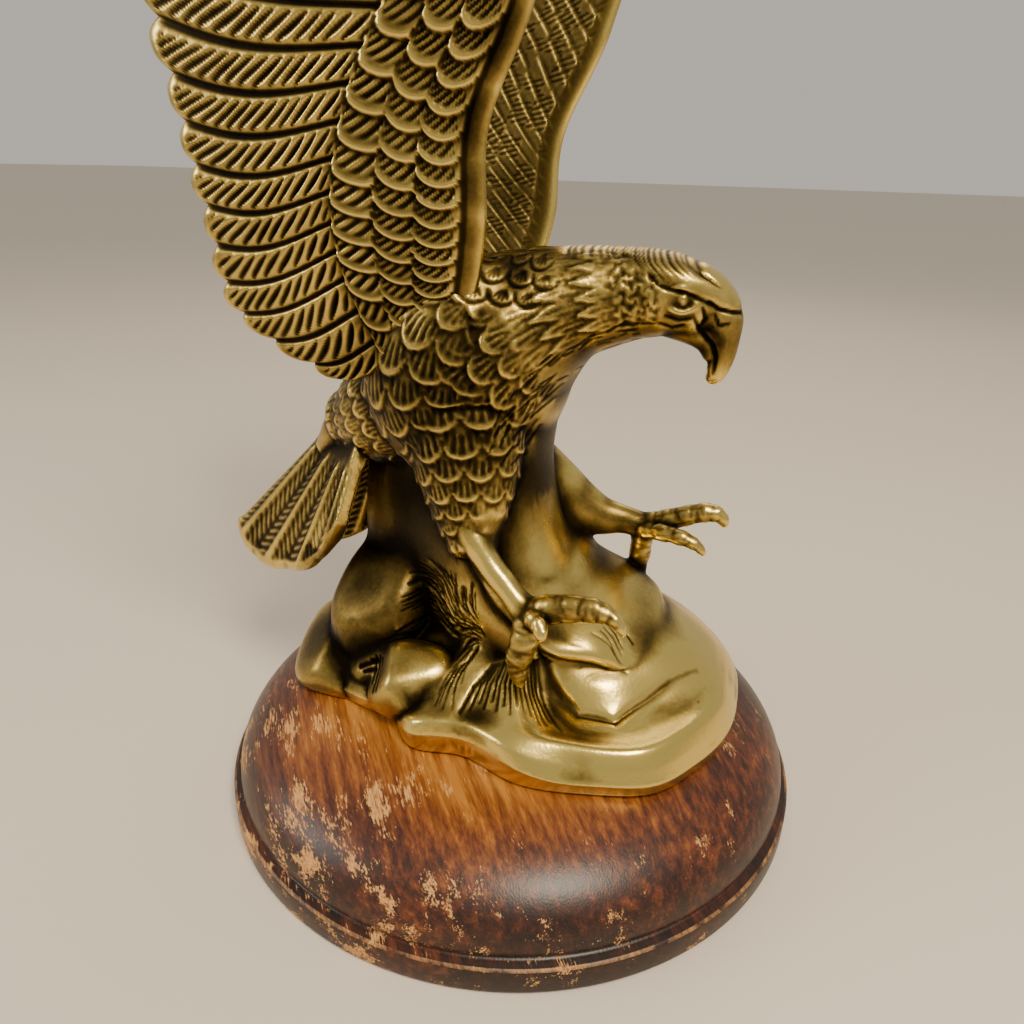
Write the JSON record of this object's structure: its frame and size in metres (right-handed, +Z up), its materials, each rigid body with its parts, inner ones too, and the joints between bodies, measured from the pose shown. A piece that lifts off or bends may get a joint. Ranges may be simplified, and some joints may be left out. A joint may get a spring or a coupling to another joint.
{
  "type": "eagle statue",
  "caption": "Cast brass eagle with raised wings alighting on a rock, on a round turned wood plinth, for display on a table or shelf.",
  "frame": {"origin": "centre of the round plinth's underside", "axes": "+X the way the eagle faces, -Y its right side, +Z up"},
  "size_m": [0.1739, 0.16, 0.2707],
  "materials": {
    "cast_brass": "aged satin, brown in the recesses, golden on worn high spots",
    "stained_wood": "dark red-brown satin stain, worn to bare wood in patches"
  },
  "bodies": {
    "root": {"eagle_casting": "cast_brass", "wood_plinth": "stained_wood"}
  },
  "joints": []
}
